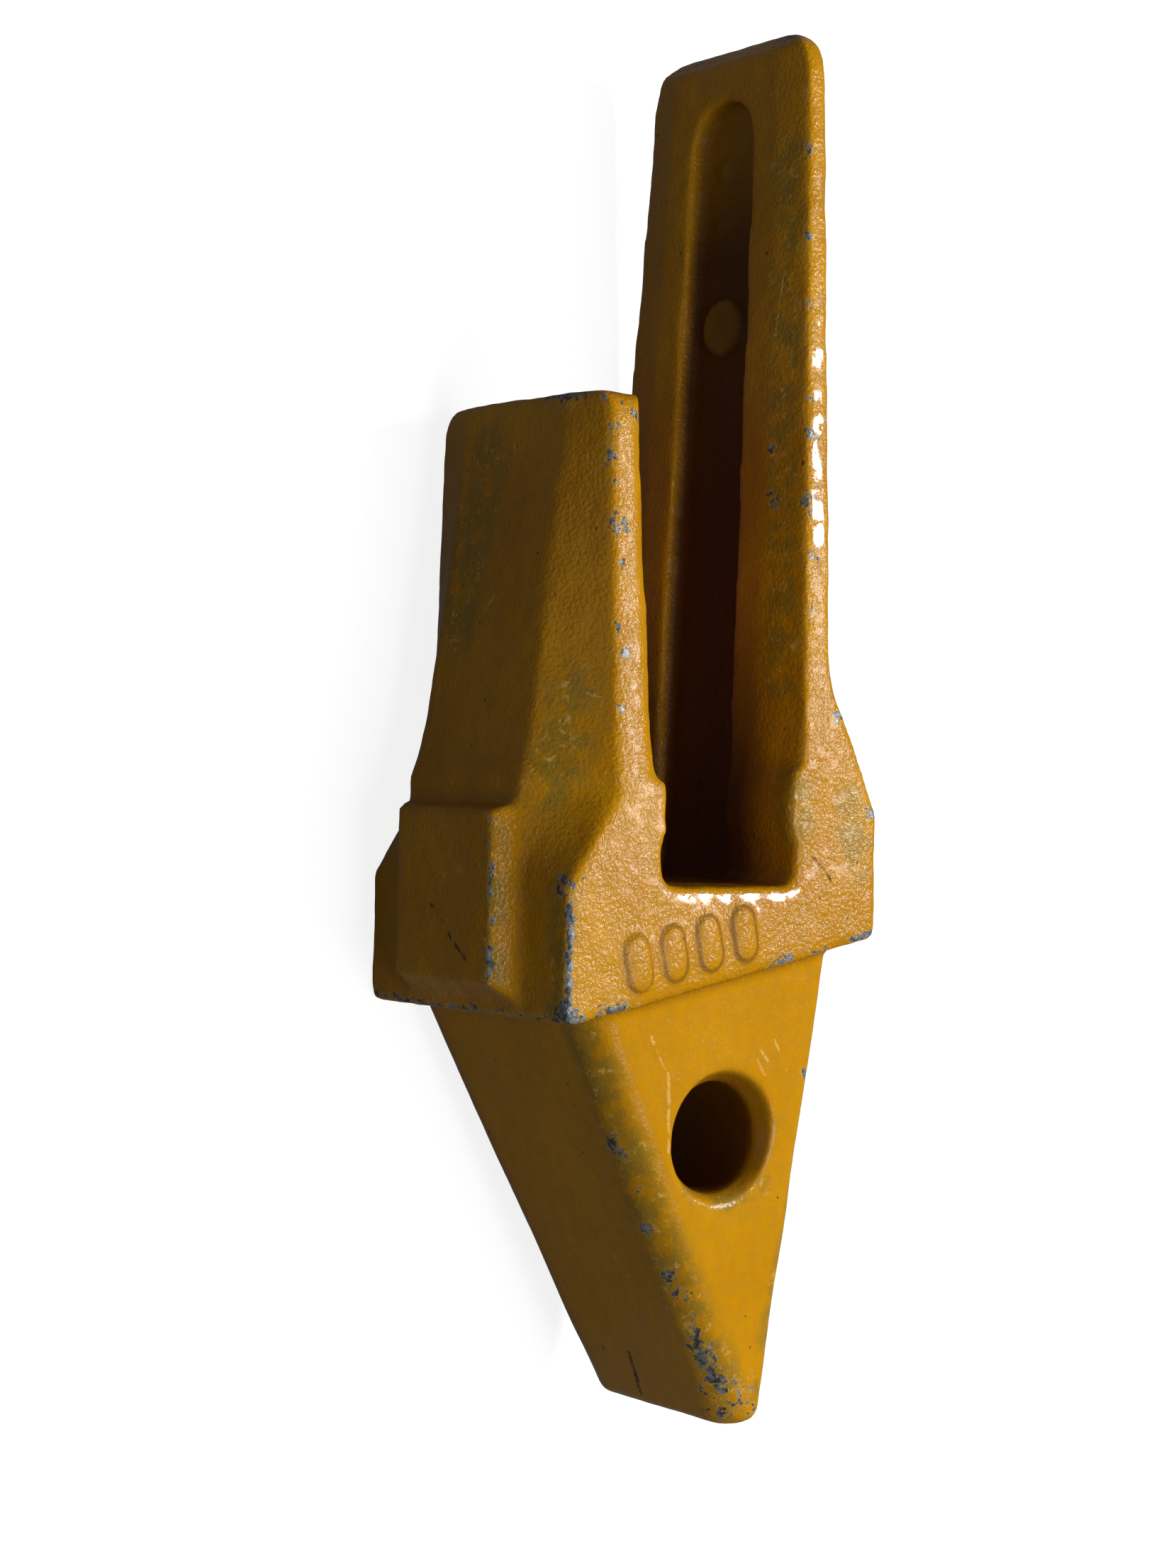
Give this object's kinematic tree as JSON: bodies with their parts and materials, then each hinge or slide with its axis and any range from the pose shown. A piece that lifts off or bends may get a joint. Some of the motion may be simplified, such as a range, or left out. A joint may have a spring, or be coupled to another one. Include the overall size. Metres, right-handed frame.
{
  "type": "bucket tooth adapter",
  "caption": "Cast weld-on adapter with one long and one short leg straddling a bucket lip, and a tapered nose with a cross pin hole for a digging tooth.",
  "frame": {"origin": "on the pin bore's axis at the middle of its length, on the casting's mid-plane", "axes": "+X from the leg ends toward the nose tip, +Z along the pin bore, out of the side face seen in the picture, +Y toward the long leg"},
  "size_m": [0.2359, 0.0706, 0.0564],
  "materials": {
    "enamel": "glossy ochre-yellow enamel over a rough sand casting, chipped to grey steel on the edges"
  },
  "bodies": {
    "root": {"adapter": "enamel"}
  },
  "joints": []
}
